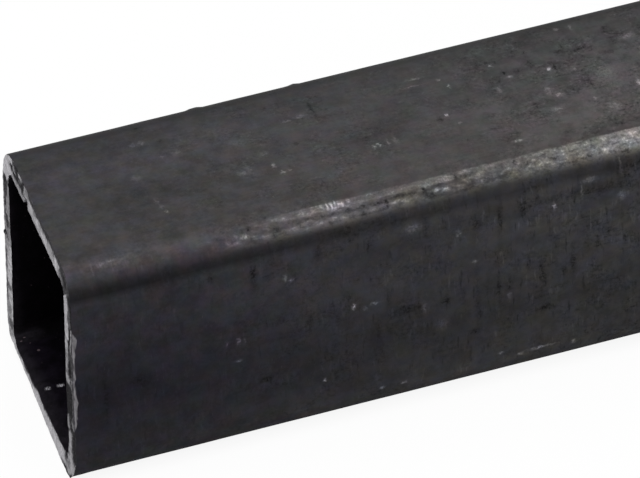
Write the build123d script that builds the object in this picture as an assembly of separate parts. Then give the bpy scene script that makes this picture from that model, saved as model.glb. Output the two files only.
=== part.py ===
from build123d import *
import os
from math import radians, sqrt, tan

# Square steel tube, cold rolled from strip and seam welded, cut from a longer bar.
# It lies along X. The origin is on its underside, midway along its length and across its width.
# All sizes are in millimetres, and all angles are in degrees.

# Section
side = 50.8            # outside width and height
wall = 4.76            # thickness of the strip
inner_radius = 3.6     # inside of the four rolled corners

# Seam weld, which leaves a low crowned strip inside, along the floor of the bore
weld_width = 4.4       # across the crown's arc, where it would meet the floor
weld_height = 0.6
weld_toe = 1.0         # radius of the hollow between crown and floor
weld_root = 0.5        # depth to which the strip is sunk in the wall
weld_offset = 3.0      # from the middle of the floor, towards +Y

# Length
length = 609.6         # on the centre line

# Sawn end, at -X: a little out of square, so that its lower corner on the -Y side is longest
saw_swing = 2.2        # lean of the cut seen from above
saw_rake = 2.75        # lean of the cut seen from the side

# Clean end, at +X: cut square, with its sharp outer edge taken off
deburr = 0.4

# Worked out from the sizes above
outer_radius = inner_radius + wall
bore = side - 2 * wall
mid_height = side / 2
end_x = length / 2
swing_slope = tan(radians(saw_swing))
rake_slope = tan(radians(saw_rake))
saw_allowance = side * (swing_slope + rake_slope)    # longer than the sawn end's longest corner


def weld_strip():
    """The weld's cross-section: a crown between two hollow toes on the floor of the bore, with its root in the wall."""
    crown_radius = (weld_width ** 2 / 4 + weld_height ** 2) / (2 * weld_height)
    centres_apart = crown_radius + weld_toe
    toe_x = sqrt(centres_apart ** 2 - (centres_apart - weld_height) ** 2)
    meet_x = toe_x * crown_radius / centres_apart
    meet_y = weld_toe * weld_height / centres_apart
    left_toe = TangentArc((-toe_x, 0), (-meet_x, meet_y), tangent=(1, 0))
    crown = TangentArc((-meet_x, meet_y), (meet_x, meet_y), tangent=left_toe % 1)
    right_toe = TangentArc((meet_x, meet_y), (toe_x, 0), tangent=crown % 1)
    root = Polyline((toe_x, 0), (toe_x, -weld_root), (-toe_x, -weld_root), (-toe_x, 0))
    return Pos(weld_offset, -bore / 2) * make_face(left_toe + crown + right_toe + root)


def tube_section():
    """The rolled wall and its weld, drawn about the section's centre with the floor of the bore below."""
    wall_ring = RectangleRounded(side, side, outer_radius) - RectangleRounded(bore, bore, inner_radius)
    return wall_ring + weld_strip()


def cut_bar():
    """A bar of the section along X, with length to spare at -X for the saw, and faced square at +X."""
    start = Plane(origin=(-end_x - saw_allowance, 0, mid_height), x_dir=(0, 1, 0), z_dir=(1, 0, 0))
    bar = extrude(start * tube_section(), amount=length + saw_allowance)
    outer_edge = bar.faces().sort_by(Axis.X)[-1].outer_wire().edges()
    return chamfer(outer_edge, deburr)


def saw_plane():
    """The slanted cut, which crosses the centre line at the end of the stated length and faces out of the tube."""
    return Plane(origin=(-end_x, 0, mid_height), z_dir=(-1, swing_slope, rake_slope))


def square_tube():
    return split(cut_bar(), bisect_by=saw_plane(), keep=Keep.BOTTOM)


os.makedirs("parts", exist_ok=True)
export_step(square_tube(), "parts/square_tube.step")
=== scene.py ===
from math import cos, pi, radians, sin, tan

import bpy
import numpy as np
from mathutils import Matrix, Vector


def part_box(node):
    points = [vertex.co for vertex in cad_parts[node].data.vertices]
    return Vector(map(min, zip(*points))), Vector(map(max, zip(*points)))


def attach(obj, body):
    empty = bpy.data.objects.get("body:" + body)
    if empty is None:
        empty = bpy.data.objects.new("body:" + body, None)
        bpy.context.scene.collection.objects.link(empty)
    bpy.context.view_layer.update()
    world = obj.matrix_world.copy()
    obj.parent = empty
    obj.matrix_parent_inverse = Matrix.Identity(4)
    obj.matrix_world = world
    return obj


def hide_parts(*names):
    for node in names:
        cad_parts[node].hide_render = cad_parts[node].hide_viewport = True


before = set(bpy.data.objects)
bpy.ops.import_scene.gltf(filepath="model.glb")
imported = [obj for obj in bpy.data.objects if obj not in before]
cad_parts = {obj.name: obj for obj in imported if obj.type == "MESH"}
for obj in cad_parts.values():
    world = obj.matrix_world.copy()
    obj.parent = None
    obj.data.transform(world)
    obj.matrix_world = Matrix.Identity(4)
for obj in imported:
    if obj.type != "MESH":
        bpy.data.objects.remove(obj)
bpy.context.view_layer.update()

# A square steel tube, cold rolled and seam welded, sawn off at -X and cut clean at +X. It lies along X.
# Lengths are in metres unless a name or comment says mm. Places on the skin are in millimetres: "along" is
# the distance from the sawn end, and "around" is the distance round the outside, 0 at the lower end of the
# near side's flat, going up that side, over the top, down the far side and back under the tube. "depth" is
# the place across the wall, 0 outside and 1 in the bore.

MM = .001

# Section and ends
low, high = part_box("square_tube")
side = high.z - low.z
half_side = side / 2
half_length = high.x
wall = 4.76 * MM
inner_radius = 3.6 * MM
outer_radius = inner_radius + wall
flat = side - 2 * outer_radius
outer_arc = outer_radius * pi / 2
saw_swing = tan(radians(2.2))
saw_rake = tan(radians(2.75))
deburr = .4 * MM
saw_mark_tilt = radians(12)
weld_offset = 3.0 * MM
weld_width = 4.4 * MM
weld_height = .6 * MM
weld_toe = .12 * MM

# The same in mm. BOTTOM is where the bottom's flat starts, and SEAM is where the weld lies.
FLAT = flat / MM
ARC = outer_arc / MM
WALL = wall / MM
ROUND = 4 * (FLAT + ARC)
LENGTH = 2 * half_length / MM
BOTTOM = 3 * (FLAT + ARC)
SEAM = BOTTOM + (half_side - outer_radius - weld_offset) / MM
START = SEAM - ROUND                   # the same line as SEAM, reached the other way round

# Mesh
FINE = 720                             # columns next to the saw cut
COARSE = FINE // 3                     # columns elsewhere
fine_reach = 6.0                       # mm from the saw cut that the fine columns cover
close_reach = 132.0                    # mm from the saw cut that the closer rows cover
close_step = 1.2                       # mm between the closer rows
clean_depths = (.25, .5, .75)          # rows across the clean end
sawn_depths = (                        # rows across the sawn end
    .96, .91, .86, .8, .74, .68, .62, .56, .5, .44, .38, .32, .26, .2, .14, .08, .03)

rng = np.random.default_rng(41)


# ---------- numbers

def smooth(value, start, end):
    """0 before start, 1 after end, and a smooth step between them."""
    t = np.clip((value - start) / (end - start), 0, 1)
    return t * t * (3 - 2 * t)


def window(value, start, end, soft):
    """1 between start and end, falling smoothly to 0 over soft at both ends."""
    rise = smooth(value, start - soft / 2, start + soft / 2)
    return rise * (1 - smooth(value, end - soft / 2, end + soft / 2))


def spread(table, around, column=1):
    """A column of a table, read off at distances around."""
    return np.interp(around, [row[0] for row in table], [row[column] for row in table])


def noise_field(cell_x, cells_round):
    """A function of x in mm and of around: smooth noise between -1 and 1 that closes round the section."""
    rows = 701
    grid = rng.uniform(-1, 1, (rows, cells_round))

    def field(x, around):
        u, v = x / cell_x, (around - START) / ROUND * cells_round
        i, j = np.floor(u).astype(int), np.floor(v).astype(int)
        a, b = u - i, v - j
        a, b = a * a * (3 - 2 * a), b * b * (3 - 2 * b)
        i0, i1, j0, j1 = i % rows, (i + 1) % rows, j % cells_round, (j + 1) % cells_round
        near = grid[i0, j0] * (1 - b) + grid[i0, j1] * b
        far = grid[i1, j0] * (1 - b) + grid[i1, j1] * b
        return near * (1 - a) + far * a

    return field


# ---------- section

def section(around):
    """The outside at distances around, and the outward normals there, as y, z, ny, nz."""
    # a quarter is one corner and the flat after it, turned about the centre. A point is y + 1j * z.
    quarter, run = np.divmod(np.asarray(around, float) * MM + outer_arc, outer_arc + flat)
    turn = np.array([1, -1j, -1, 1j])[quarter.astype(int) % 4]
    normal = turn * np.exp(-1j * (pi / 2 + np.clip(run / outer_radius, 0, pi / 2)))
    centre = (half_side - outer_radius) * (-1 - 1j)
    point = turn * (centre + 1j * np.maximum(run - outer_arc, 0)) + outer_radius * normal
    return point.real, point.imag + half_side, normal.real, normal.imag


# ---------- the sawn end

# What the saw left on the cut face, later rows over earlier ones: first and last distance around, first and
# last depth, how deep it lies in mm, and how bright it is, from 0 for the darkest to 1 for clean steel. A
# depth of -1 or 2 is past the edge of the cut face.
SAW_MARKS = (
    # under the tube
    (-34, -13, -1, 2, 0, .8), (-34, -12, .95, 2, .1, .1),
    # near low corner
    (-13, -.5, -1, 2, 0, .52), (-15.2, -12.6, -1, .3, 0, .34), (-13.4, -8, -1, .2, 0, .03),
    (-12.8, -10, .56, .8, 0, .3), (-12, -8, .72, 2, .12, .03), (-8.6, -3.6, .84, 2, .08, .22),
    (-10, -5.4, .42, .6, .04, .36), (-9, -6, .1, .32, 0, .66), (-6, -1.4, .3, .72, 0, .6),
    (-3.2, -.2, .06, .4, .12, .16),
    # near wall, low down: bright inside and torn outside
    (-.5, 7.6, 0, 2, 0, .24), (-.2, 4.8, .5, .88, 0, .6), (-2.2, 6.8, -1, .44, .22, .03),
    (.8, 4.8, .88, 2, .08, .06), (4.6, 7.6, .36, .76, .2, .04), (4.8, 8.4, .82, 1.1, 0, .46),
    (6, 8.6, -.1, .26, 0, .3),
    # near wall, higher up: torn patch, edge of the rolled lip, groove and bright steel
    (7.6, 16.3, .16, 2, .06, .03), (8.2, 18.4, -1, .17, 0, .17), (24.4, 31, -1, .12, 0, .12),
    (18.4, 24.4, -1, .32, .05, .13), (15.2, 39, .19, 2, 0, .03), (16.2, 18.2, .34, 2, 0, .52),
    (17.8, 24.2, .62, 2, 0, .38), (19, 21.8, .68, 1.1, 0, .5), (17.8, 22.6, .36, .62, .2, .01),
    (22.6, 25, .16, .5, .05, .13), (23.6, 27.2, .6, 2, 0, .66), (26.6, 30.6, .47, 2, 0, .8),
    (30.4, 39, .51, 2, 0, .76), (30.6, 39.2, .26, .46, 0, .2), (31, 39.4, -1, .26, .1, .01),
    # near top corner, dull
    (39, 48, -1, 2, .12, .11), (42.8, 47.6, .6, .96, 0, .34), (41.2, 44, .2, .6, .1, .035),
    # top wall
    (47.6, 71, .34, 2, 0, .6), (46.6, 71, -1, .35, .05, .1), (48.2, 50.6, .36, .88, 0, .96),
    (50.8, 52.6, .2, .6, .1, .24), (52.8, 54.6, .28, .66, 0, .62), (55, 57.8, 0, .46, .15, .07),
    (56, 60, .44, .9, 0, .92), (58, 61.4, .26, .5, 0, .42), (62, 64.4, .34, .84, 0, .8),
    (61.8, 66, 0, .4, .1, .12), (64.4, 66.2, .3, .66, 0, .36), (66.4, 70, .38, .92, 0, .74),
    # scored strip beyond the notch
    (73, 85, 0, 2, .15, .05), (72.6, 84, .78, 2, 0, .52), (70.2, 72.8, -.1, .5, .05, .42),
    (68.8, 70.2, .22, .56, 0, .66), (73.3, 74.6, -.2, .6, .15, .04), (75.2, 77.4, -.1, .32, .05, .56),
    (75.6, 77.6, .44, .58, .05, .24), (77.4, 79.6, -1, .62, .2, .04), (79.8, 81.2, .16, .52, 0, .55),
    # far top corner, clean
    (82.2, 94, .03, .9, 0, .9), (81.6, 84.8, .36, .7, .25, .02),
    # notch in the top wall
    (70.9, 73.2, .6, 2, .9, .01),
    # far wall
    (93.8, 135, -1, 2, -.05, .44), (93.6, 95.8, .08, .6, .05, .03), (92.6, 95.2, .74, .96, .05, .05),
    (95, 104.6, .1, .28, .2, .025), (95.4, 98.8, .3, .62, .05, .11), (95.6, 99, .64, .92, -.05, .42),
    (98.8, 101.2, .14, .4, .1, .06), (99, 101.8, .48, .78, -.05, .48), (101.8, 103, .3, .84, -.05, .4),
    (102.9, 105.8, .28, .66, .1, .12), (104, 105.2, .66, .92, .1, .2), (105.8, 107.8, .24, .84, -.05, .38),
    (107.9, 108.9, .02, .34, .3, .01), (108.4, 109.4, .32, .6, .2, .03), (109.6, 113.2, .24, 1.2, -.05, .56),
    (110.6, 111.2, .2, .9, 0, .36), (112, 116.8, .08, .27, 0, .2), (113.2, 116.4, .44, 1.2, -.05, .84),
    (116.6, 119.4, .3, .9, -.05, .8), (119.4, 121, .28, 1, -.05, .34), (119.6, 124.6, .08, .25, 0, .1),
    (121, 124.2, .3, .86, -.05, .7), (125.4, 126.4, .3, 1, -.05, .34), (109.8, 119, .74, 1.15, -.05, .88),
    (121, 127.6, .72, 1.1, -.05, .82), (128.4, 131.4, .3, .9, 0, .22),
    # far low corner and under the tube
    (134, 156, -1, 2, 0, .8), (140, 156, .95, 2, .1, .1),
    # thin burr standing out from the far wall's edge
    (108.7, 109.2, -1, .12, -.34, 0),
)

# Under the tube the outer part of the cut face slopes away: distance around, and the depth where it starts
UNDERCUT = (
    (-33.2, .34), (-24, .16), (-15, 0), (134, 0), (136, .42), (138, .62), (141, .74), (143, .68), (145, .58),
    (150, .6), (155.7, .34),
)
undercut_slope = tan(radians(26))

# How far the cut's inner edge stands into the bore in mm. Below 0 it is cut back.
INNER_LIP = (
    (-33.2, -.75), (-20, -.5), (-12, 0), (0, .25), (7.6, .1), (9, .25), (11, .45), (14.6, .6), (16, .25),
    (24, .22), (38, .25), (41, 0), (46, -.3), (50, -.6), (66, -.75), (70.5, -.8), (73, -.4), (80, -.3),
    (84, -.6), (92, -.55), (96, 0), (106.8, 0), (108, .35), (115.6, .4), (117, 0), (128, 0), (136, -.4),
    (137.5, -.95), (139, -.95), (141, -.75), (155.7, -.75),
)
lip_reach = 1.6

# How far the cut's outer edge is rolled in, and how far along the skin that reaches, both in mm
OUTER_ROLL = (
    (-33.2, .08, .5), (-12, .08, .5), (-10.8, -.24, .7), (-9.4, -.42, .7), (-7.6, .05, .5), (-2, .08, .4),
    (3, .16, .5), (7, .22, .9), (11, .3, 1.3), (15, .26, 1), (19, .2, .75), (24, .26, 1.1), (28, .3, 1.25),
    (30.5, .16, .7), (32, .06, .3), (60, .06, .3), (94, .1, .3), (128, .1, .4), (155.7, .08, .5),
)

# How far along the skin the bare steel beside the cut reaches, in mm
BARE_LIP = (
    (-33.2, 0), (-2, 0), (2, .05), (6.2, .1), (7.5, .5), (9.5, .8), (13, .9), (16, .7), (18.6, .66),
    (20.4, .58), (22.6, .5), (24.4, .62), (26, .9), (28.2, 1.05), (29.4, .95), (30.3, .3), (31, 0), (66, 0),
    (67, .15), (70.5, .15), (71.5, .3), (73.5, 0), (75.2, .05), (76.4, .1), (77.4, 0), (155.7, 0),
)

# Burrs that stand up from the far top corner: along, around, half lengths along and around, height, in mm
CHIPS = ((40.9, 87.2, .8, 2.2, .42), (61.6, 87.2, .7, 1.8, .25))

saw_waves = noise_field(1.1, 150)
saw_grain = noise_field(.5, 420)
broad_hollows = noise_field(24, 8)
small_hollows = noise_field(6, 30)
bead_lumps = noise_field(1.7, 90)
saw_blots = noise_field(2.4, 64)

# How far the edges of the saw's marks wander with each noise: in mm around, and in depth
edge_wander = ((saw_blots, .5, .09), (saw_waves, .4, .07), (saw_grain, .2, .05))
unlike = 40                            # mm to a part of the noise that is unlike the part here
broad_depth, small_depth = .025, .012  # mm, half of what the skin's hollows reach


def saw_face(around, depth):
    """How far the cut face lies behind the saw's plane in mm, and how bright its steel is."""
    around, depth = np.broadcast_arrays(around, depth)
    sunk, bright = np.zeros(around.shape), np.ones(around.shape)
    inward = depth * WALL
    ragged_around, ragged_depth = around, depth
    for field, wander_around, wander_depth in edge_wander:
        ragged_around = ragged_around + wander_around * field(inward, around)
        ragged_depth = ragged_depth + wander_depth * field(inward + unlike, around)
    for first, last, outer, inner, deep, tone in SAW_MARKS:
        inside = window(ragged_around, first, last, .7) * window(ragged_depth, outer, inner, .12)
        sunk += (deep - sunk) * inside
        bright += (tone - bright) * inside
    sunk += undercut_slope * WALL * np.maximum(spread(UNDERCUT, around) - depth, 0)
    sunk += .05 * saw_waves(inward, around) + .03 * saw_grain(inward, around)
    # the near low corner reaches furthest out, and its relief stays behind the saw's plane
    sunk += .08 * window(around, -13, 0, 6)
    return sunk, bright


def bare_lip(distance, around):
    """How far the skin beside the saw cut is bare steel: 1 on the rolled lip and 0 off it."""
    reach = spread(BARE_LIP, around) * (1 + .25 * saw_waves(distance, around))
    off_edge = .35 + .65 * smooth(distance, .05, .5)
    return (1 - smooth(distance, .75 * reach - .1, reach + .001)) * off_edge


def saw_plane(y, z):
    return -half_length + saw_swing * y + saw_rake * (z - half_side)


def surface(distance, around, depth):
    """Rows of points at distances in mm from the saw cut, at one depth in the wall, before any relief."""
    y, z, ny, nz = section(around)
    y, z = y - ny * wall * depth, z - nz * wall * depth
    cut = saw_plane(y, z)
    sunk, _ = saw_face(around, depth)
    near_cut = np.maximum(1 - distance / fine_reach, 0)
    x = cut + (half_length - cut) * distance / LENGTH + sunk * MM * near_cut
    return x, y + 0 * x, z + 0 * x, ny + 0 * x, nz + 0 * x


def skin(distance, around):
    """Rows of points on the outside."""
    x, y, z, ny, nz = surface(distance, around, 0.0)
    along = (x + half_length) / MM
    roll, reach = spread(OUTER_ROLL, around), spread(OUTER_ROLL, around, 2)
    inward = roll * np.maximum(1 - distance / reach, 0) ** 2
    hollow = broad_depth * (1 + broad_hollows(along, around))
    hollow += small_depth * (1 + small_hollows(along, around))
    inward += hollow * window(along, 1.0, LENGTH - 1.5, 2.0)
    for chip_along, chip_around, half_x, half_s, height in CHIPS:
        off = ((along - chip_along) / half_x) ** 2 + ((around - chip_around) / half_s) ** 2
        inward -= height * np.exp(-off)
    inward = inward * MM + np.maximum(deburr - (half_length - x), 0)
    return np.stack([x, y - ny * inward, z - nz * inward], -1)


def bore(distance, around):
    """Rows of points on the inside."""
    x, y, z, ny, nz = surface(distance, around, 1.0)
    along = (x + half_length) / MM
    lip = spread(INNER_LIP, around) * MM * np.maximum(1 - distance / lip_reach, 0) ** 2
    inward = lip + np.where(nz < -.999, weld_bead(y, along), 0)
    return np.stack([x, y - ny * inward, z - nz * inward], -1)


def weld_bead(y, along):
    """Height of the weld's strip over the floor of the bore, at y in metres."""
    crown = ((weld_width / 2) ** 2 + weld_height ** 2) / (2 * weld_height)
    off = np.abs(y - weld_offset)
    arc = np.sqrt(np.maximum(crown ** 2 - off ** 2, 0)) - (crown - weld_height)
    height = (arc + np.sqrt(arc ** 2 + weld_toe ** 2)) / 2
    lumps = 1 + .15 * bead_lumps(along, START + off / MM)
    return np.where(off < 1.5 * weld_width, height * lumps, 0)


def sawn_row(around, depth, skin_edge, bore_edge):
    """A row of points across the saw cut at one depth, between the skin's edge and the bore's, and how bright
    its steel is."""
    points = skin_edge * (1 - depth) + bore_edge * depth
    sunk, bright = saw_face(around, depth)
    points[:, 0] = saw_plane(points[:, 1], points[:, 2]) + sunk * MM
    return points, bright


# ---------- mesh

def stations():
    """Distances from the saw cut in mm: the fine rows, the coarse rows to the clean end, and the bore's
    coarse rows."""
    fine = np.array([0, .1, .22, .36, .52, .7, .9, 1.15, 1.45, 1.8, 2.3, 2.9, 3.7, 4.7, fine_reach])
    close = np.arange(fine_reach + close_step, close_reach, close_step)
    far = np.linspace(close_reach, LENGTH - 1.5, 78)
    end = LENGTH - np.array([.9, .4, 0.0])
    inside = [[fine_reach + 1.5, fine_reach + 4], np.linspace(14, LENGTH - 8, 62), [LENGTH]]
    return fine, np.concatenate([close, far, end]), np.concatenate(inside)


def columns(count):
    """Where a row's columns lie, as distances around."""
    return START + ROUND * np.arange(count) / count


def build_rows():
    """Closed rings of points in order: along the skin, across the clean end, back down the bore and across
    the sawn end. Each is (what it belongs to, points, depth, brightness)."""
    fine_around, coarse_around = columns(FINE), columns(COARSE)
    fine, coarse, bore_coarse = stations()

    lips = bare_lip(fine[:, None], fine_around)
    rows = [("skin", points, 0.0, lip) for points, lip in zip(skin(fine[:, None], fine_around), lips)]
    skin_edge = rows[0][1]
    dull = np.zeros(COARSE)
    rows += [("skin", points, 0.0, dull) for points in skin(coarse[:, None], coarse_around)]
    clean_skin = rows[-1][1]
    bore_rows = [("bore", points, 1.0, dull) for points in bore(bore_coarse[::-1, None], coarse_around)]
    clean_bore = bore_rows[0][1]
    for depth in clean_depths:
        rows.append(("clean", clean_skin * (1 - depth) + clean_bore * depth, depth, dull))
    rows += bore_rows
    _, edge_bright = saw_face(fine_around, 1.0)
    rows += [("bore", points, 1.0, edge_bright) for points in bore(fine[::-2, None], fine_around)]
    bore_edge = rows[-1][1]
    for depth in sawn_depths:
        points, bright = sawn_row(fine_around, depth, skin_edge, bore_edge)
        rows.append(("sawn", points, depth, bright))
    return rows


def strip(first, second, first_start, second_start):
    """Faces between two rows, as corners (vertex, column) in the fine columns' count."""
    def corner(start, count, column):
        return start + column % count, column * (FINE // count)

    column = np.arange(min(first, second))
    a, b = (lambda k: corner(first_start, first, k)), (lambda k: corner(second_start, second, k))
    if first == second:
        return [(a(column), b(column), b(column + 1), a(column + 1))]
    if first < second:
        return [face[::-1] for face in strip(second, first, second_start, first_start)]
    f, c = [a(3 * column + k) for k in range(4)], [b(column), b(column + 1)]
    return [(f[0], c[0], f[1]), (f[1], c[0], c[1]), (f[1], c[1], f[2]), (f[2], c[1], f[3])]


KINDS = ("skin", "sawn", "bore", "clean")

# Where each part of the surface lies in the baking map: left, right, bottom, top
BAKE_AREAS = {
    "near_skin": (.004, .7, .004, .5),
    "far_skin": (.004, .996, .512, .88),
    "bore": (.712, .996, .004, .5),
    "sawn": (.004, .996, .892, .942),
    "clean": (.004, .996, .954, .99),
}


def bake_place(area, along, around, depth):
    left, right, bottom, top = BAKE_AREAS[area]
    turn = (around - START) / ROUND
    u, v = {
        "near_skin": (turn, along / (close_reach + 4)),
        "far_skin": ((along - close_reach + 4) / (LENGTH - close_reach + 4), turn),
        "bore": (turn, (along + 2) / (LENGTH + 2)),
    }.get(area, (turn, depth))
    u, v = left + (right - left) * np.clip(u, 0, 1), bottom + (top - bottom) * np.clip(v, 0, 1)
    return np.stack([u, v], -1)


def tube_mesh(name):
    rows = build_rows()
    starts = np.concatenate([[0], np.cumsum([len(row[1]) for row in rows])])
    points = np.concatenate([row[1] for row in rows])
    depth = np.concatenate([np.full(len(row[1]), row[2]) for row in rows])
    bright = np.concatenate([row[3] for row in rows])
    along = (points[:, 0] + half_length) / MM
    _, cut_edge = saw_face(columns(FINE), 0.0)

    faces, kinds, corner_skin, corner_bright, corner_uv = [], [], [], [], []
    for index, (kind, here, _, _) in enumerate(rows):
        after = (index + 1) % len(rows)
        next_kind, there = rows[after][0], rows[after][1]
        if kind != next_kind:
            kind = kind if kind in ("sawn", "clean") else next_kind
        area = kind
        if kind == "skin":
            reach = (there[:, 0].max() + half_length) / MM
            area = "near_skin" if reach < close_reach + 3 else "far_skin"
        for pattern in strip(len(here), len(there), starts[index], starts[after]):
            vertex = np.stack([corner[0] for corner in pattern], 1)
            around = START + ROUND / FINE * np.stack([corner[1] for corner in pattern], 1)
            faces += vertex.tolist()
            kinds += [KINDS.index(kind)] * len(vertex)
            flat_vertex, flat_around = vertex.ravel(), around.ravel()
            corner_skin.append(np.stack([along[flat_vertex], flat_around, depth[flat_vertex]], 1))
            shown = bright[flat_vertex]
            if kind == "sawn":
                shown = np.where(depth[flat_vertex] == 0, cut_edge[flat_vertex % FINE], shown)
            corner_bright.append(shown)
            corner_uv.append(bake_place(area, along[flat_vertex], flat_around, depth[flat_vertex]))

    mesh = bpy.data.meshes.new(name)
    mesh.from_pydata(points.tolist(), [], faces)
    mesh.polygons.foreach_set("material_index", kinds)
    place = mesh.attributes.new("skin", "FLOAT_VECTOR", "CORNER")
    place.data.foreach_set("vector", np.concatenate(corner_skin).ravel())
    shown = mesh.attributes.new("bright", "FLOAT", "CORNER")
    shown.data.foreach_set("value", np.concatenate(corner_bright))
    uv = mesh.uv_layers.new(name="OFBake")
    uv.data.foreach_set("uv", np.concatenate(corner_uv).ravel())
    mesh.shade_smooth()
    mesh.set_sharp_from_angle(angle=radians(38))
    mesh.validate()
    mesh.update()
    return mesh


# ---------- material nodes

class Graph:
    """Short ways to add nodes to a material or a world. Any input may be a number, a tuple or another
    node's output."""

    def __init__(self, owner):
        owner.use_nodes = True
        owner.node_tree.nodes.clear()
        self.owner = owner

    def add(self, kind, inputs, output=0, **settings):
        node = self.owner.node_tree.nodes.new(kind)
        for name, value in settings.items():
            setattr(node, name, value)
        for key, value in inputs.items():
            if isinstance(value, bpy.types.NodeSocket):
                self.owner.node_tree.links.new(value, node.inputs[key])
            else:
                node.inputs[key].default_value = value
        return node.outputs[output] if node.outputs else None

    def math(self, operation, *values):
        return self.add("ShaderNodeMath", dict(enumerate(values)), operation=operation)

    def chain(self, operation, values):
        """One operation over two or more values, from the first to the last."""
        total = values[0]
        for value in values[1:]:
            total = self.math(operation, total, value)
        return total

    def times(self, *values):
        return self.chain("MULTIPLY", values)

    def plus(self, *values):
        return self.chain("ADD", values)

    def most(self, *values):
        return self.chain("MAXIMUM", values)

    def vector(self, operation, *values, output=0):
        return self.add("ShaderNodeVectorMath", dict(enumerate(values)), output, operation=operation)

    def pair(self, x, y):
        return self.add("ShaderNodeCombineXYZ", {0: x, 1: y})

    def parts(self, vector):
        return self.add("ShaderNodeSeparateXYZ", {0: vector}).node.outputs

    def step(self, value, start, end, low=0.0, high=1.0):
        """low before start, high after end, smooth between."""
        inputs = {0: value, 1: start, 2: end, 3: low, 4: high}
        return self.add("ShaderNodeMapRange", inputs, interpolation_type="SMOOTHSTEP")

    def between(self, value, start, end, soft):
        return self.times(self.step(value, start - soft / 2, start + soft / 2),
                          self.step(value, end - soft / 2, end + soft / 2, 1.0, 0.0))

    def noise(self, vector, size, detail=2.0, roughness=.5, output=0):
        """Noise from 0 to 1. size is a pair of feature sizes, in the vector's own unit."""
        scaled = self.vector("MULTIPLY", vector, (1 / size[0], 1 / size[1], 0))
        inputs = {"Vector": scaled, "Scale": 1.0, "Detail": detail, "Roughness": roughness}
        return self.add("ShaderNodeTexNoise", inputs, output, noise_dimensions="2D")

    def ramp(self, value, stops):
        """A colour ramp. Each stop is (place, colour), and a colour may be one number."""
        socket = self.add("ShaderNodeValToRGB", {0: value})
        elements = socket.node.color_ramp.elements
        while len(elements) < len(stops):
            elements.new(.5)
        for element, (place, colour) in zip(elements, stops):
            element.position = place
            element.color = (*(colour if isinstance(colour, tuple) else (colour,) * 3), 1)
        return socket

    def mix(self, factor, a, b, blend="MIX"):
        return self.add("ShaderNodeMix", {0: factor, 6: a, 7: b}, 2, data_type="RGBA", blend_type=blend)

    def scale(self, colour, factor):
        return self.add("ShaderNodeVectorMath", {0: colour, 3: factor}, operation="SCALE")


class Skin(Graph):
    """Nodes of a new material on the tube, with the places on the skin in mm to hand."""

    def __init__(self, name):
        super().__init__(bpy.data.materials.new(name))
        self.place = self.add("ShaderNodeAttribute", {}, 1, attribute_name="skin")
        self.along, self.around, self.depth = self.parts(self.place)

    def brightness(self):
        """How bare and bright the steel is, from 0 to 1."""
        return self.add("ShaderNodeAttribute", {}, 2, attribute_name="bright")

    def shifted(self, x, y):
        """The place moved on, for a noise that doesn't follow another one."""
        return self.vector("ADD", self.place, (x, y, 0))

    def across_wall(self):
        """The place on a cut face: around, and how far in from the outside."""
        return self.pair(self.around, self.times(self.depth, WALL))

    def along_ramp(self, *stops):
        """A ramp along the tube. Each stop is (along, colour or number)."""
        share = self.math("DIVIDE", self.along, LENGTH)
        return self.ramp(share, [(mm / LENGTH, value) for mm, value in stops])

    def round_ramp(self, *stops):
        """A ramp round the outside. Each stop is (around, colour or number)."""
        turn = self.math("DIVIDE", self.math("SUBTRACT", self.around, START), ROUND)
        return self.ramp(turn, [((mm - START) / ROUND, value) for mm, value in stops])

    def finished(self, specular, colour, roughness, metallic, height, height_size):
        """The material, with its shader joined up. height_size is what a height of 1 stands for."""
        bump = self.add("ShaderNodeBump", {"Strength": 1.0, "Distance": height_size, "Height": height})
        inputs = {"Base Color": colour, "Roughness": roughness, "Metallic": metallic, "Normal": bump,
                  "Specular IOR Level": specular}
        self.add("ShaderNodeOutputMaterial", {0: self.add("ShaderNodeBsdfPrincipled", inputs)})
        return self.owner
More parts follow.
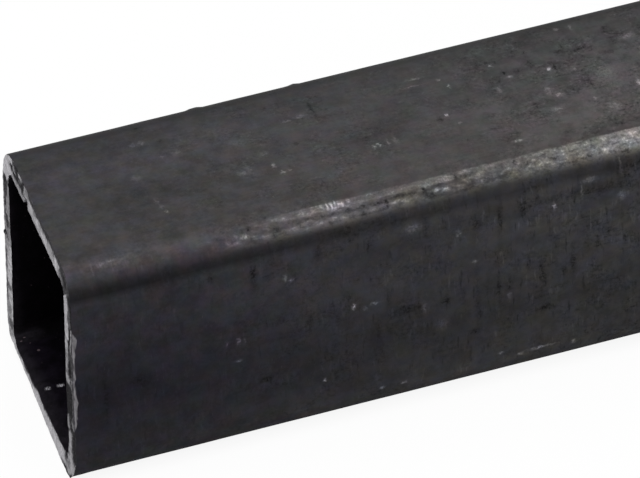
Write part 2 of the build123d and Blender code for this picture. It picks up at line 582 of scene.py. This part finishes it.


# Marks on the skin: along, around, half lengths along and around, all in mm, and how much lighter (over 0) or
# darker (under 0) the skin is there; the small strong lighter ones are painted glints. A place along the tube
# is written mark_stretch times too far.
mark_stretch = 1.0026
TOP_MARKS = (
    (23.9, 57.6, .35, .9, .35), (24.3, 55.7, .4, .5, .6), (24.8, 53.7, .25, .4, 1.2),
    (25.2, 77.1, .6, .5, .45), (27.1, 77.1, .5, .6, .45), (22.6, 66.4, .9, .8, .3), (32.6, 71.6, .9, 1, .3),
    (29.6, 71.2, .5, .5, .3), (42.2, 59.8, .9, .8, .45), (43.9, 60.6, .5, 1.2, .3), (48.8, 59.8, .3, .7, 1),
    (49.8, 57, .4, .4, 1.4), (51.4, 57.1, .4, .3, .6), (55.8, 72.8, .9, .3, .45), (59, 73.4, .9, .6, .45),
    (48.3, 64.3, 1, .8, .3), (44.8, 69.8, 1.5, 1.2, .2), (69, 58.1, .28, .5, 1), (70.1, 58.4, .25, .5, 1.4),
    (72, 58.3, .25, .8, .7), (73.6, 58.6, .5, 1, .35), (83.8, 76.4, 1.4, .25, .55),
    (82.3, 74.2, 1.6, .2, .45), (88.3, 74.2, .3, .35, .8), (89.5, 71.5, .22, .45, 1.7),
    (85.7, 62.5, .22, .4, 1.6), (87.2, 59, .35, .35, .7), (95.8, 48.9, .9, .3, 1), (99.5, 74.7, .35, .4, 1),
    (98.2, 66.5, .3, .8, .5), (101.8, 69.7, .4, .4, .9), (109.9, 69.1, .42, .35, 2.6),
    (108.5, 60.2, .5, .5, 1.2), (107.2, 62.5, .7, 1.6, .4), (106.6, 55.8, .9, .7, .55),
    (114.8, 56.3, .3, .4, .9), (114.5, 67.3, .5, .6, .5), (119.5, 63.5, 1.8, 2.5, .35),
    (124.7, 57.9, .4, .8, 1.8), (117.5, 52.5, 1.2, 1.5, .35), (115.8, 81.4, .4, .4, .8),
    (118.7, 80.8, .25, .6, .8), (128, 73.6, 1.4, .8, .6), (28, 82.2, 1, .4, -.35),
    (30.8, 76.4, .35, .5, -.25), (55.2, 65, .4, .5, -.3), (15, 66.5, 6, 1, -.12), (61.8, 74, .3, 3, -.25),
    (26, 62, 8, 3, -.08), (84, 61.5, .6, .5, -.35), (101, 71.4, .5, .4, -.5), (106.9, 72.2, .7, 1.4, -.35),
    (104, 70.9, 1.5, .7, -.25), (107.2, 76.4, .25, .4, -.45), (111, 69, .25, 1.6, -.4),
    (101, 62.5, 3.5, 3.2, -.14), (112.5, 62.5, 3, 3.5, -.12), (112.5, 66.1, 3.4, .3, -.2),
    (115.9, 61.5, .3, 4.5, -.25), (118, 73.2, 1.6, .7, -.4), (113.5, 74, 1, .5, -.3),
    (122.8, 70, 1.4, .8, -.35), (125, 72.8, .9, .8, -.35), (125, 78.3, .5, .5, -.4),
    (117.5, 46.6, 2.5, .4, -.3), (44, 72, 16, 5, .04), (20, 72, 12, 5, .04), (72, 63, 9, 5, -.1),
    (108, 56, 9, 7, .06), (124, 60, 7, 9, .12), (88, 48.5, 14, 2.5, .04),
)
NEAR_MARKS = (
    (43.4, 31, .3, .6, 1.1), (44.6, 30.3, .35, .35, .9), (33.1, 18.6, .3, .7, 1), (34.3, 18.4, .25, .5, .5),
    (30.7, 18.6, .25, .5, .5), (32.9, 14, .7, .25, .9), (57, 20.1, .33, .5, 3), (61.3, 19.7, .7, .3, 1.1),
    (59.3, 19, .4, .4, .6), (50.1, 4.1, .25, .3, 2.2), (82.3, 23.8, .4, .4, .7), (99.3, 32.4, .22, .7, 1.6),
    (105.1, 34.4, .2, 1.4, .45), (113.6, 38.4, .2, 2, .45), (107, 36.4, 1.2, .5, .5),
    (70, 35.3, 1.5, .9, .45), (79.2, 31.4, .4, .8, .5), (113.4, 31, .6, 1, .5), (89.2, 13.5, .3, .6, .6),
    (71.5, 15.5, .4, 1.2, .4), (75, 10.3, 1.2, 1.2, .3), (62, -1.5, .4, .3, .9), (66.5, -1.5, .5, .3, .9),
    (91, -1.8, .5, .3, 1.1), (95.5, -1.3, 2.2, .25, 1.2), (102.3, -2, .4, .5, .8), (87, -.2, .5, .3, .7),
    (28.3, 35.3, .55, 1.2, -.3), (36.9, 33.8, .65, 3, -.4), (50.3, 35, .75, 1.4, -.25),
    (61, 34.5, .75, 1.8, -.25), (72.5, 35, .75, 1.8, -.3), (83, 33, .75, 2.2, -.3),
    (87.9, 32, .55, 3.5, -.25), (92.8, 34, .75, 2.4, -.3), (47.6, 18.5, .55, 1.6, -.25),
    (61.8, 12, .65, 4.5, -.2), (64.2, 20, .55, 2, -.2), (76, 16, .9, 1.2, -.4), (79.7, 16.5, .45, 2.5, -.2),
    (82.6, 14, .55, 8, -.2), (87.2, 15.5, .45, 3, -.25), (89.3, 16, .45, 1.8, -.3),
    (96.3, 16.5, .65, 2.5, -.4), (100.7, 16, .8, 1, -.3), (102.7, 18, .55, 3.2, -.3),
    (107, 16, .65, 1.6, -.3), (116, 19, .55, 1.4, -.25), (68, 16.2, 2.4, 1, -.3), (96.3, 8.2, 1.5, .7, -.5),
    (38.2, 7.8, 1.1, .6, -.35), (81.5, 6.8, .9, .6, -.4), (13, 15, 2.4, 1.5, -.3), (5.5, 13, .5, 6, -.25),
    (100, 34.2, 6.5, 1, -.16), (110, 33.6, 5, 1, -.2), (115.5, 37.2, 3, .9, -.22), (46, 28, 12, 6, .05),
    (3, 28.5, 4, 5, .04),
)

# The same on the worn band along the near top corner; its small strong lighter ones are painted glints on the
# bare steel
BAND_MARKS = (
    (7.8, 43.3, .7, .5, .6), (9.9, 43.4, .6, .5, .65), (5.9, 42.8, .18, 1.3, .3), (10.5, 43.2, 4, 1.8, .14),
    (1.5, 44.6, 1, .5, .25), (51, 43.1, 5, .5, .22), (62.5, 43, 2.5, .5, .15), (36.9, 41.8, .55, .42, 2),
    (36, 41.7, .4, .3, .7), (37.9, 43.1, .45, .6, -.55), (31.6, 42.6, .9, .5, -.25), (33.2, 41.2, .5, .3, .6),
    (34.5, 40.9, .8, .3, .4), (35, 42.2, .4, .4, .4), (39.6, 40.9, .8, .4, .35), (41.3, 40.7, .5, .4, .25),
    (43.6, 43.7, 1.2, .4, .35), (46.4, 41, .7, .35, .35), (48.9, 43.7, .7, .4, .55),
    (51.2, 43.6, .5, .4, .35), (53.2, 44, .3, .4, 1.2), (54.3, 43.9, .22, .6, 1.6),
    (55.2, 43.8, .25, .6, 2.2), (55.9, 43.9, .18, .6, 1.6), (56.6, 43.7, .25, .55, 2),
    (57.3, 43.4, .4, .4, 1.7), (58.7, 43.9, .3, .5, 1.1), (55.8, 43, .8, .3, .7), (52, 40.8, 1.2, .3, .3),
    (56.3, 40.7, .8, .3, .3), (49, 40.4, .6, .3, .25), (43.2, 41.7, .7, .6, -.45), (46.3, 42.4, 1, .3, -.25),
    (50.2, 42.2, 1.1, .4, -.3), (52.7, 42.1, .7, .45, -.4), (54.8, 42, .7, .4, -.35),
    (58, 42.1, .8, .45, -.42), (61, 42, 1, .45, -.45), (64.2, 42, 1.3, .45, -.48),
    (65.9, 41.5, .35, .9, -.65), (68.8, 42.3, 1.6, .35, -.42), (71.4, 42.1, .7, .4, -.42),
    (73.8, 42.2, .4, .9, -.6), (75, 40.9, 1.2, .6, -.45), (44.8, 40.6, .5, .5, -.3), (48, 41.2, .4, .5, -.3),
    (53.8, 40.6, .3, .5, -.35), (58.5, 40.6, .6, .4, -.3), (60.8, 40.5, .7, .4, -.35),
    (65, 40.5, .7, .4, -.35), (37.9, 41, .4, .5, -.3), (42.5, 40.6, .4, .5, -.35), (63, 40.8, 1, .3, .45),
    (67.5, 41.3, .9, .3, .6), (69.8, 41, .6, .3, .5), (72, 41.3, .6, .3, .4), (74.6, 43.5, 1.9, .7, .3),
    (78.2, 43.5, 1.7, .7, .4), (76.4, 41.8, .4, .3, 1.5), (78.1, 41.4, .5, .3, 1.2),
    (77.4, 42.6, 1.6, .35, -.45), (80.7, 43.6, .5, .8, -.45), (82.6, 44.2, .9, .35, .8),
    (80.8, 41.5, .4, .3, .7), (83, 43.1, 1.4, .4, -.45), (85.6, 43, 1, .8, .35), (88.3, 44, 1, .4, .35),
    (86.5, 41.5, 1.6, .6, -.35), (82.5, 40.5, 2.2, .5, -.25), (90.5, 41.2, 1.8, .7, -.25),
    (93, 43.4, .3, .5, -.6), (95.5, 42.6, .9, .4, -.35), (94, 41.2, 1.2, .5, .2), (97.5, 40.8, .8, .4, .35),
    (99.6, 41.9, .7, .5, .3), (101, 42.4, 1, .4, -.5), (103, 41.6, .7, .4, -.35), (105.4, 43.8, 1.4, .5, .18),
    (107.5, 41, 1.2, .5, -.4), (111.4, 41.4, .5, .4, 1.1), (111.8, 43.7, .5, .4, .6),
    (117.3, 43.4, .7, .5, .5), (115, 40.3, 1.6, .6, -.4), (109.5, 42.3, .4, .3, -.5),
    (98.3, 43.9, 2.2, .35, .2),
)


def marks(g, table, strength, bend):
    """The sum of soft spots, each falling off round its centre and broken up by fine noise. strength is for
    the lighter and the darker ones, and bend is how far their outlines wander, in mm."""
    wobble = g.noise(g.place, (.8, .8), 2, .6, output=1)
    stretched = g.vector("MULTIPLY_ADD", g.place, (mark_stretch, 1, 1), (-bend / 2, -bend / 2, 0))
    place = g.vector("MULTIPLY_ADD", wobble, (bend, bend, 0), stretched)
    total = 0.0
    for along, around, half_along, half_around, gain in table:
        size = (1 / half_along, 1 / half_around, 0)
        shift = (-along / half_along, -around / half_around, 0)
        near = g.vector("MULTIPLY_ADD", place, size, shift)
        square = g.vector("DOT_PRODUCT", near, near, output=1)
        gain *= strength[0] if gain > 0 else strength[1]
        total = g.math("MULTIPLY_ADD", g.math("POWER", .4, square), gain, total)
    return g.times(total, g.step(g.noise(place, (.5, .5), 2, .6), .35, .65, .5, 1.5))


def flecks(g, place, cell, share, size):
    """Scattered spots from 0 to 1. cell is their spacing in mm, share how many of the cells have one, and
    size the largest spot's half length in cells."""
    scaled = g.vector("MULTIPLY", place, (1 / cell[0], 1 / cell[1], 0))
    wobble = g.noise(place, (1.1, .9), output=1)
    inputs = {"Vector": g.vector("MULTIPLY_ADD", wobble, (.1, .1, 0), scaled), "Scale": 1.0}
    cells = g.add("ShaderNodeTexVoronoi", inputs, voronoi_dimensions="2D").node.outputs
    draws = g.add("ShaderNodeSeparateColor", {0: cells["Color"]}).node.outputs
    spot = g.step(cells["Distance"], g.step(draws[1], 0, 1, size / 3, size), 0)
    return g.times(spot, g.step(draws[0], 1 - share, 1 - share + .02))


def tone_with_painted_light(g):
    """The mill scale's tone round the section, near the sawn end and further on: partly its own tone and
    partly painted light and shade.
    """
    # painted light in both ramps: the top lighter and the near side darker as the light falls, a painted
    # sheen along the near top corner near the sawn end (41.6 to 46 round) with painted shade just under it
    # (37.6 to 39.3),
    # painted shade along the far top edge (82.6 to 84.4), and the near low corner painted lighter against its
    # shade
    near_start = g.round_ramp(
        (-9, (.018, .018, .02)), (-4, (.0255, .025, .0275)), (-1.6, (.0235, .023, .0262)),
        (0, (.0195, .019, .023)), (14, (.0125, .012, .017)), (30, (.024, .023, .0285)),
        (36, (.025, .025, .029)), (37.6, (.0085, .0085, .0095)), (38.5, (.0105, .01, .0115)),
        (39.3, (.017, .015, .018)), (41.6, (.046, .042, .047)), (43.8, (.066, .061, .066)),
        (46, (.043, .0415, .043)), (60, (.041, .0405, .042)), (74, (.043, .0415, .046)),
        (80, (.037, .0365, .039)), (81.6, (.036, .0355, .038)), (82.6, (.026, .0255, .0275)),
        (84.4, (.0165, .0165, .0175)), (88, (.024, .024, .026)), (150, (.024, .024, .025)))
    settled = g.round_ramp(
        (-9, .024), (-4, (.044, .0435, .045)), (-2.2, (.048, .0475, .049)),
        (-1, (.037, .0365, .038)), (0, (.0345, .034, .035)), (10, (.0272, .0271, .0285)),
        (22, (.0408, .0404, .0432)), (36, (.0387, .0383, .041)), (37.7, (.022, .0215, .023)),
        (38.6, (.025, .0245, .026)), (39.6, (.033, .032, .033)), (44, (.058, .054, .052)),
        (46, (.063, .059, .058)), (52, (.0645, .0605, .0605)), (64, (.0585, .0565, .0575)),
        (78, (.05, .0495, .05)), (81.6, (.044, .0435, .044)), (82.8, .031), (84.4, .019),
        (88, (.027, .027, .028)), (150, .028))
    return g.mix(g.step(g.along, 0, 105), near_start, settled)


def blotches(g, on_top, on_sides, cluster, middle, grain):
    """How much lighter or darker than its own tone the scale is, as a factor: blotches, scabs and specks,
    rolling streaks along the top, and rubbed streaks round the sides."""
    along, around, shifted = g.along, g.around, g.shifted
    broad = g.noise(g.place, (13, 9))
    rolled = g.noise(shifted(11, 17), (14, .7))
    rubbed = g.noise(shifted(37, 5), (1.1, 4.6), 3, .55)
    patchy = g.noise(shifted(29, 90), (5, 6.5), 3, .55)
    cracks = g.noise(shifted(66, 13), (4.2, 2.4), 3, .6)
    scratches = g.noise(shifted(3, 47), (38, .24))
    cracked = g.step(g.math("ABSOLUTE", g.plus(cracks, -.5)), 0, .03, -.36, 0)
    scabby = g.times(g.step(cluster, .4, .6), g.along_ramp(
        (0, .12), (30, .25), (42, .6), (60, .6), (80, .35), (100, .75), (125, 1)))
    streaky = g.times(on_sides, g.along_ramp((40, .42), (60, .5), (90, .8), (600, .9)))
    # flecks and scratches scattered over the far side, the underside and the length further on; the lighter
    # flecks are painted glints
    scattered = g.most(g.step(along, 124, 142), g.step(around, 84, 92), g.step(around, -8, -14))
    return g.plus(
        1,
        g.times(scattered, flecks(g, shifted(7, 3), (4.2, 5.6), .24, .11), 1.3),
        g.times(scattered, flecks(g, shifted(17, 9), (9, 6.5), .3, .16), -.38),
        g.times(scattered, g.step(scratches, .66, .78, 0, .35), g.step(cluster, .5, .62)),
        g.step(broad, .3, .7, -.1, .1),
        g.times(g.step(middle, .28, .72, -.18, .18),
                g.along_ramp((40, 1), (55, .75), (85, .75), (100, 1))),
        g.times(g.step(grain, .25, .75, -.17, .17), g.plus(scabby, .25)),
        g.times(g.step(grain, .6, .74, 0, .62), scabby, on_top),
        g.times(g.step(patchy, .5, .53, .05, -.07), on_top, g.step(along, 82, 100)),
        g.times(cracked, scabby, g.step(cluster, .44, .58)),
        g.times(g.step(grain, .42, .28, 0, -.28), scabby),
        g.times(g.step(rolled, .3, .7, -.028, .028), on_top),
        g.times(g.step(rubbed, .58, .75, 0, -.7), streaky, g.step(middle, .4, .6, .2, 1)),
        g.times(g.step(rubbed, .4, .25, 0, .7), streaky, g.step(cluster, .42, .58, .1, 1)),
        marks(g, TOP_MARKS, (2.2, 1.6), 1.3),
        marks(g, NEAR_MARKS, (3, 1.5), 1),
    )


def bare_rows(g, contrast, rub, pits):
    """How bare the near top corner is: two ragged rows that join further along, and the gap between them."""
    along, around = g.along, g.around
    upper = g.times(g.between(around, 42.8, 44.6, .7), g.along_ramp(
        (0, 0), (8, .3), (14, .1), (34, .12), (41, .4), (47, .85), (80, .95), (81, .7), (90, .85),
        (102, 1), (114, 1.1), (138, .95), (165, .45), (190, .15), (230, .35), (262, .75), (300, .55),
        (345, .1), (400, .25), (440, .7), (490, .85), (540, .45), (580, .2), (600, .35)))
    lower = g.times(g.between(around, 39.1, 41.9, 1.6), g.along_ramp(
        (29, 0), (35, .55), (42, .55), (46, .75), (66, .7), (76, .5), (88, .5), (96, .8),
        (106, .9), (124, 1.1), (150, .7), (178, .2), (215, .3), (255, .6), (310, .5), (360, .2),
        (425, .45), (480, .75), (530, .5), (575, .15), (600, .3)))
    gap = g.times(g.between(around, 41.2, 43.4, .6), g.along_ramp(
        (0, 0), (34, .25), (50, .5), (80, .5), (100, .85), (115, 1), (145, .6), (175, .15),
        (250, .35), (350, .1), (450, .45), (500, .6), (560, .15), (600, .1)))
    rub, pits = g.plus(rub, -.5), g.plus(pits, -.5)
    worn = g.step(g.plus(g.most(upper, lower, gap), g.times(rub, g.plus(contrast, .6))), .05, 1.05)
    lower_edge = g.plus(around, g.times(pits, -2.4), g.times(rub, -4.5))
    upper_edge = g.plus(around, g.times(rub, g.step(along, 118, 150, 0, 4)))
    return g.times(worn, g.step(lower_edge, 37.9, 40.2), g.step(upper_edge, 45, 44.4))


def worn_corner_and_painted_light(g, colour, rub, pits):
    """The near top corner, rubbed down to bare steel, with painted light and shade on the bare band. Gives
    how bare it is, and the colour.
    """
    contrast = g.along_ramp((0, .2), (50, .45), (80, .55), (100, .8), (610, .9))
    worn = bare_rows(g, contrast, rub, pits)
    steel = g.along_ramp(
        (0, (.098, .0925, .097)), (62, (.1, .0945, .097)), (73, (.101, .099, .0925)),
        (82, (.102, .098, .095)), (100, (.104, .102, .096)), (LENGTH, (.11, .109, .104)))
    # painted light on the bare band: painted shade on its lower part where it turns down, and lighter or
    # darker along it as the light falls
    painted_shade_edge = g.plus(g.around, g.step(g.along, 78, 100, 0, -.8))
    tone = g.times(g.step(painted_shade_edge, 38.4, 41.2, .45, 1), g.along_ramp(
        (0, .85), (50, .95), (54, 1.12), (58.5, 1.12), (61, .92), (80, .97), (95, 1.03), (110, 1.28),
        (118, 1.75), (150, 1.2), (610, 1.15)))
    mottle = g.plus(g.times(rub, .5), g.times(pits, .5), -.5)
    mottled = g.plus(1, g.times(mottle, contrast, 3.4), g.times(g.step(mottle, .1, .2), contrast))
    colour = g.mix(worn, colour, g.scale(steel, g.times(tone, mottled)))
    marked = g.plus(marks(g, BAND_MARKS, (1.5, 1.1), .5), 1)
    return worn, g.scale(colour, g.most(marked, .2))


def heat_tinted(g, colour, on_top, on_sides):
    """The colour with the oxide's own tints: blue to straw, and green to purple."""
    warm = g.noise(g.shifted(60, 10), (4.4, 3.6), 3, .6)
    green = g.noise(g.shifted(23, 81), (4.8, 4.4), 3, .6)
    warm_tint = g.ramp(warm, ((.3, (.96, .985, 1.12)), (.7, (1.04, 1, .88))))
    green_tint = g.ramp(green, ((.3, (.9, 1.04, .98)), (.7, (1.11, .96, 1.04))))
    warm_on_top = g.along_ramp((0, .9), (60, .65), (100, .35), (610, .7))
    green_on_top = g.along_ramp((0, .45), (40, .52), (60, .66))
    green_on_sides = g.along_ramp((30, .95), (60, .4), (100, .33), (135, .5))
    warm_share = g.plus(on_sides, g.times(on_top, warm_on_top))
    green_share = g.plus(g.times(on_sides, green_on_sides), g.times(on_top, green_on_top))
    colour = g.mix(warm_share, colour, warm_tint, "MULTIPLY")
    return g.mix(green_share, colour, green_tint, "MULTIPLY")


def knocked_corners(g, colour, cluster, pits):
    """The other corners, rubbed here and there."""
    knocks = g.noise(g.shifted(70, 44), (11, 1.7), 3, .65)
    corners = g.plus(g.between(g.around, 86.5, 91.5, 3), g.between(g.around, 132.5, 137.5, 3),
                     g.times(g.between(g.around, -9, -4, 3), g.step(g.along, 124, 142)))
    knocked = g.times(corners, g.step(knocks, .52, .72), g.step(cluster, .4, .6), .6)
    rubbed_steel = (.094, .091, .09)
    return g.mix(knocked, colour, g.scale(rubbed_steel, g.step(pits, .3, .7, .6, 1.3)))


def sawn_lip(g, colour):
    """The bare lip beside the saw cut. Gives how bare the skin is, and the colour."""
    crumbs = g.noise(g.shifted(41, 29), (.3, 2.2), 3, .6)
    lip = g.step(g.math("MULTIPLY_ADD", crumbs, .7, g.brightness()), .45, 1.15)
    lip_steel = (.205, .197, .21)
    return lip, g.mix(lip, colour, g.scale(lip_steel, g.step(crumbs, .25, .75, .5, 1.2)))


def mill_scale():
    g = Skin("mill_scale")
    middle = g.noise(g.shifted(90, 30), (3.4, 3), 3, .65)
    grain = g.noise(g.shifted(20, 70), (.9, .8), 4, .65)
    cluster = g.noise(g.shifted(55, 61), (7, 6))
    rub = g.noise(g.shifted(4, 8), (2.2, 1), 3, .6)
    pits = g.noise(g.shifted(14, 3), (.6, .55), 2, .6)
    on_top = g.between(g.around, 43, 84, 4)
    on_sides = g.math("SUBTRACT", 1, on_top)

    tone = g.most(blotches(g, on_top, on_sides, cluster, middle, grain), .15)
    worn, colour = worn_corner_and_painted_light(g, g.scale(tone_with_painted_light(g), tone), rub, pits)
    colour = heat_tinted(g, colour, on_top, on_sides)
    colour = knocked_corners(g, colour, cluster, pits)
    lip, colour = sawn_lip(g, colour)

    height = g.plus(g.times(grain, .5), middle, g.times(pits, worn, .8))
    polished = g.most(worn, lip)
    rough = g.most(g.step(middle, .2, .8, .52, .66), g.step(g.around, 2, -4, .5, .9))
    roughness = g.mix(polished, rough, (.44, .44, .44, 1))
    return g.finished(.05, colour, roughness, g.times(polished, .5), height, .03 * MM)


def saw_lines(g, size):
    """Straight marks across an end, a little off level. size is their length and spacing in mm."""
    _, y, z = g.parts(g.add("ShaderNodeTexCoord", {}, 3))
    level, slope = cos(saw_mark_tilt) / MM, sin(saw_mark_tilt) / MM
    run = g.plus(g.times(y, level), g.times(z, slope))
    rise = g.plus(g.times(z, level), g.times(y, -slope))
    return g.noise(g.pair(run, rise), size, 3, .6)


def sawn_steel():
    g = Skin("sawn_steel")
    clean_steel, darkest_tone = (.44, .43, .455), (.006, .0055, .0065)
    crumbs = g.noise(g.across_wall(), (.45, .35), 3, .65)
    streaks = g.noise(g.across_wall(), (1, 4), 3, .6)
    lines = saw_lines(g, (11, .24))
    bright = g.math("MULTIPLY_ADD", g.plus(crumbs, -.5), .25, g.brightness())
    bright = g.most(bright, g.times(g.brightness(), .5))
    shine = g.times(bright, g.step(lines, .3, .7, .72, 1.22), g.step(crumbs, .25, .75, .7, 1.25),
                    g.step(streaks, .32, .68, .72, 1.22))
    colour = g.vector("ADD", g.scale(clean_steel, shine), darkest_tone)
    roughness = g.step(bright, .05, .6, .95, .45)
    metallic = g.step(bright, .05, .5, 0, .8)
    return g.finished(.05, colour, roughness, metallic, g.plus(g.times(crumbs, .6), lines), .06 * MM)


def scraped_crest_with_sheen(g):
    """The weld's crest, scraped bare here and there, with painted sheen on the scraped places: how bright it
    is, and its colour.
    """
    crest_shift = .8                  # mm from the seam to the crest's scraped line
    from_crest = g.math("MINIMUM", g.math("ABSOLUTE", g.math("SUBTRACT", g.around, START + crest_shift)),
                        g.math("SUBTRACT", SEAM + crest_shift, g.around))
    chips = g.noise(g.place, (.5, .35), 2, .6)
    crest = g.step(g.math("MULTIPLY_ADD", chips, -.9, from_crest), .05, -.3)
    dashes = g.times(g.step(g.noise(g.place, (1.6, 400), 1), .55, .68), g.step(g.along, 6, 9, 0, .5))
    scraped = g.times(crest, g.plus(
        dashes, g.times(g.between(g.along, .5, 1.6, .5), .5), g.between(g.along, 3.1, 4.4, .5)))
    glints = g.step(g.noise(g.place, (.35, .3), 2, .6), .42, .62, .12, .7)
    return scraped, g.scale((1, .97, 1.05), glints)


def dark_bore():
    g = Skin("dark_bore")
    along, around = g.along, g.around
    # near-black colours, partly the scale's own and partly painted shade inside the tube; the floor's is
    # lighter than the walls'
    wall_dark, floor_dark = (.0014, .0009, .0016, 1), (.0042, .0032, .0056, 1)
    painted_mouth_light_colour, speck_tone = (.0098, .0086, .0112, 1), (.12, .09, .1, 1)
    middle = g.noise(g.place, (3, 3), 3, .6)
    grain = g.noise(g.place, (.8, .8), 3, .6)
    on_floor = g.most(g.step(around, -6, -14), g.step(around, 134, 140))
    corners = g.most(g.between(around, 132.5, 138, 3), g.between(around, -17.5, -11.5, 3))
    # painted light near the mouth, and in the lower corners just inside it
    painted_mouth_light = g.most(g.times(corners, g.step(along, 7, 3.5)), g.step(along, 3, .5, 0, .5))
    colour = g.mix(painted_mouth_light, g.mix(on_floor, wall_dark, floor_dark), painted_mouth_light_colour)
    # painted shade: darker deeper into the bore
    colour = g.scale(colour, g.step(along, 8, 3, .5, 1))
    colour = g.scale(colour, g.step(middle, .25, .75, .5, 1.5))
    scraped, crest_sheen_colour = scraped_crest_with_sheen(g)
    colour = g.mix(scraped, colour, crest_sheen_colour)
    # specks by the mouth: along, around and half length in mm
    specks = g.times(g.step(grain, .72, .8), .3)
    for x, s, size in ((1.6, 135.6, .35), (.8, 136.9, .3), (3.3, 143.2, .4), (2.4, 139, .2)):
        off = g.vector("LENGTH", g.vector("SUBTRACT", g.place, (x, s, 1)), output=1)
        specks = g.most(specks, g.step(off, size, size / 2, 0, .7))
    colour = g.mix(specks, colour, speck_tone)
    return g.finished(.03, colour, .65, g.times(scraped, .7), g.plus(middle, grain), .05 * MM)


def cut_steel():
    g = Skin("cut_steel")
    fine, coarse = saw_lines(g, (26, .3)), saw_lines(g, (60, 2.2))
    stain = g.noise(g.across_wall(), (5, 3), 3)
    tone = g.times(g.step(fine, .25, .75, .76, 1.2), g.step(coarse, .3, .7, .88, 1.08),
                   g.step(stain, .25, .6, .75, 1))
    roughness = g.step(fine, .2, .8, .36, .5)
    colour = g.scale((.34, .34, .345), tone)
    return g.finished(.3, colour, roughness, .8, g.plus(fine, g.times(coarse, .5)), .03 * MM)


# ---------- the tube

def new_object(name, data):
    """A new object, put in the scene."""
    made = bpy.data.objects.new(name, data)
    bpy.context.scene.collection.objects.link(made)
    return made


tube = new_object("tube_body", tube_mesh("tube_body"))
for make in (mill_scale, sawn_steel, dark_bore, cut_steel):
    tube.data.materials.append(make())
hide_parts("square_tube")
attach(tube, "root")


# ---------- camera

PICTURE = (640, 478)                   # pixels
sawn_end_pixel = (38.62, 315.13)       # where the middle of the sawn end appears
focal_pixels = 7512.7
camera_distance = 1.4732               # from the middle of the sawn end, along the line of sight
camera_turn = radians(17.04)
camera_tilt = radians(36.63)
camera_roll = radians(3.538)


def place_camera():
    ahead = Vector((sin(camera_turn) * cos(camera_tilt), cos(camera_turn) * cos(camera_tilt),
                    -sin(camera_tilt)))
    level = Vector((cos(camera_turn), -sin(camera_turn), 0))
    under = ahead.cross(level)
    right = level * cos(camera_roll) + under * sin(camera_roll)
    down = under * cos(camera_roll) - level * sin(camera_roll)
    off_right = (sawn_end_pixel[0] - PICTURE[0] / 2) / focal_pixels * camera_distance
    off_down = (sawn_end_pixel[1] - PICTURE[1] / 2) / focal_pixels * camera_distance
    sawn_end = Vector((-half_length, 0, half_side))
    place = sawn_end - right * off_right - down * off_down - ahead * camera_distance

    data = bpy.data.cameras.new("camera")
    data.sensor_fit = "HORIZONTAL"
    data.sensor_width = 36
    data.lens = focal_pixels / PICTURE[0] * data.sensor_width
    data.clip_end = 1000
    camera = new_object("camera", data)
    turned = Matrix((right, -down, -ahead)).transposed().to_4x4()
    camera.matrix_world = Matrix.Translation(place) @ turned
    bpy.context.scene.camera = camera


place_camera()


# ---------- floor, world and lamp

floor_half = 40
floor_greys = ((.62, .62, .62, 1), (.66, .66, .66, 1))
white = (1, 1, 1, 1)
floor_white = 1.065                    # strength of the white that the background shows
floor_white_share = .85
sky_light, sky_white = .55, 1.0        # strength of the sky as a light, and as it is seen
lamp_size = 1.2
lamp_energy = 14
lamp_place = Vector((-.55, -.55, 1.3))
lamp_aim = Vector((-.2, 0, 0))


def shown_white(g):
    """1 for rays that see the background, straight on or in a reflection."""
    path = g.add("ShaderNodeLightPath", {}).node.outputs
    return g.most(path["Is Camera Ray"], path["Is Glossy Ray"], path["Is Transmission Ray"])


def studio_floor():
    corners = [(x * floor_half, y * floor_half, 0) for x, y in ((-1, -1), (1, -1), (1, 1), (-1, 1))]
    mesh = bpy.data.meshes.new("floor")
    mesh.from_pydata(corners, [], [(0, 1, 2, 3)])
    floor = new_object("floor", mesh)
    g = Graph(bpy.data.materials.new("pale_floor"))
    cloud = g.noise(g.add("ShaderNodeTexCoord", {}, 3), (.6, .6))
    matt = g.add("ShaderNodeBsdfDiffuse", {0: g.mix(cloud, *floor_greys)})
    glow = g.add("ShaderNodeEmission", {0: white, 1: floor_white})
    shader = g.add("ShaderNodeMixShader", {0: g.times(shown_white(g), floor_white_share), 1: matt, 2: glow})
    g.add("ShaderNodeOutputMaterial", {0: shader})
    mesh.materials.append(g.owner)


def studio_world():
    g = Graph(bpy.data.worlds.new("studio"))
    bpy.context.scene.world = g.owner
    strength = g.add("ShaderNodeMapRange", {0: shown_white(g), 3: sky_light, 4: sky_white})
    g.add("ShaderNodeOutputWorld", {0: g.add("ShaderNodeBackground", {0: white, 1: strength})})


def softbox():
    data = bpy.data.lights.new("softbox", "AREA")
    data.shape = "SQUARE"
    data.size = lamp_size
    data.energy = lamp_energy
    lamp = new_object("softbox", data)
    lamp.location = lamp_place
    lamp.rotation_euler = (lamp_aim - lamp_place).to_track_quat("-Z", "Y").to_euler()


studio_floor()
studio_world()
softbox()
bpy.context.scene.view_settings.view_transform = "Standard"
